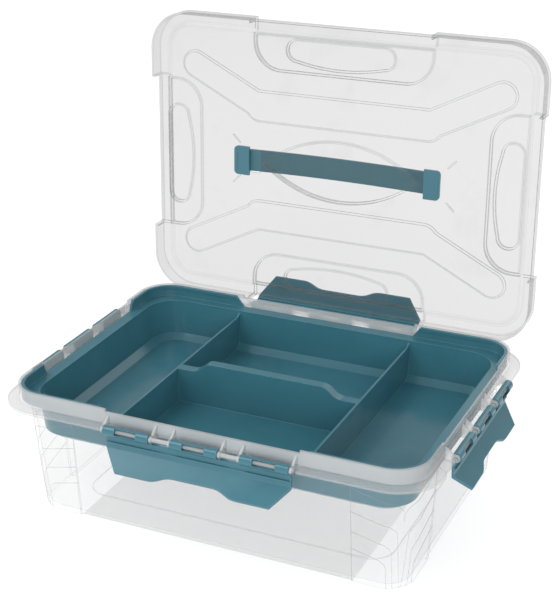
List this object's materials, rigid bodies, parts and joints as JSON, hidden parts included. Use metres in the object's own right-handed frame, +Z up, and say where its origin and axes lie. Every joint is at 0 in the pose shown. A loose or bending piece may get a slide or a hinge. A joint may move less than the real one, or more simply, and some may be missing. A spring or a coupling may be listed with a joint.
{
  "type": "sewing box with trays",
  "caption": "Clear plastic sewing box with a hinged lid standing open, a lift-out divided tray, snap latches on every side and a carry strap through the lid.",
  "frame": {"origin": "centre of the flat underside of the box", "axes": "+X along the long side to the right, +Y towards the back where the lid is hinged, +Z up"},
  "size_m": [0.4158, 0.3254, 0.386],
  "materials": {
    "clear_plastic": "clear, slightly frosted",
    "teal_plastic": "satin gloss"
  },
  "bodies": {
    "base": {"box": "clear_plastic", "hinge_rod_front": "clear_plastic", "hinge_rod_back": "clear_plastic", "hinge_rod_left": "clear_plastic", "hinge_rod_right": "clear_plastic"},
    "lid": {"lid": "clear_plastic"},
    "tray": {"tray": "teal_plastic"},
    "handle": {"carry_handle": "teal_plastic"},
    "back_latch": {"back_latch": "teal_plastic"},
    "front_latch": {"front_latch": "teal_plastic"},
    "left_latch": {"left_latch": "teal_plastic"},
    "right_latch": {"right_latch": "teal_plastic"}
  },
  "joints": [
    {"name": "lid_hinge", "type": "hinge", "parent": "base", "child": "lid", "pos_m": [0, 0.1424, 0.1056], "axis": [-1, 0, 0], "range_deg": [-92.5, 0]},
    {"name": "back_latch_hinge", "type": "hinge", "parent": "lid", "child": "back_latch", "pos_m": [0, 0.1424, 0.1056], "axis": [-1, 0, 0], "range_deg": [0, 114.2]},
    {"name": "front_latch_hinge", "type": "hinge", "parent": "base", "child": "front_latch", "pos_m": [0, -0.1424, 0.1056], "axis": [1, 0, 0], "range_deg": [-206.7, 0]},
    {"name": "right_latch_hinge", "type": "hinge", "parent": "base", "child": "right_latch", "pos_m": [0.1968, 0, 0.1056], "axis": [0, 1, 0], "range_deg": [-206.5, 0]},
    {"name": "left_latch_hinge", "type": "hinge", "parent": "base", "child": "left_latch", "pos_m": [-0.1968, 0, 0.1056], "axis": [0, -1, 0], "range_deg": [-206.5, 0]},
    {"name": "tray_lift", "type": "slide", "parent": "base", "child": "tray", "axis": [0, 0, 1], "range_m": [0, 0.09]},
    {"name": "handle_slide", "type": "slide", "parent": "lid", "child": "handle", "axis": [1, 0, 0], "range_m": [0, 0.01]}
  ]
}
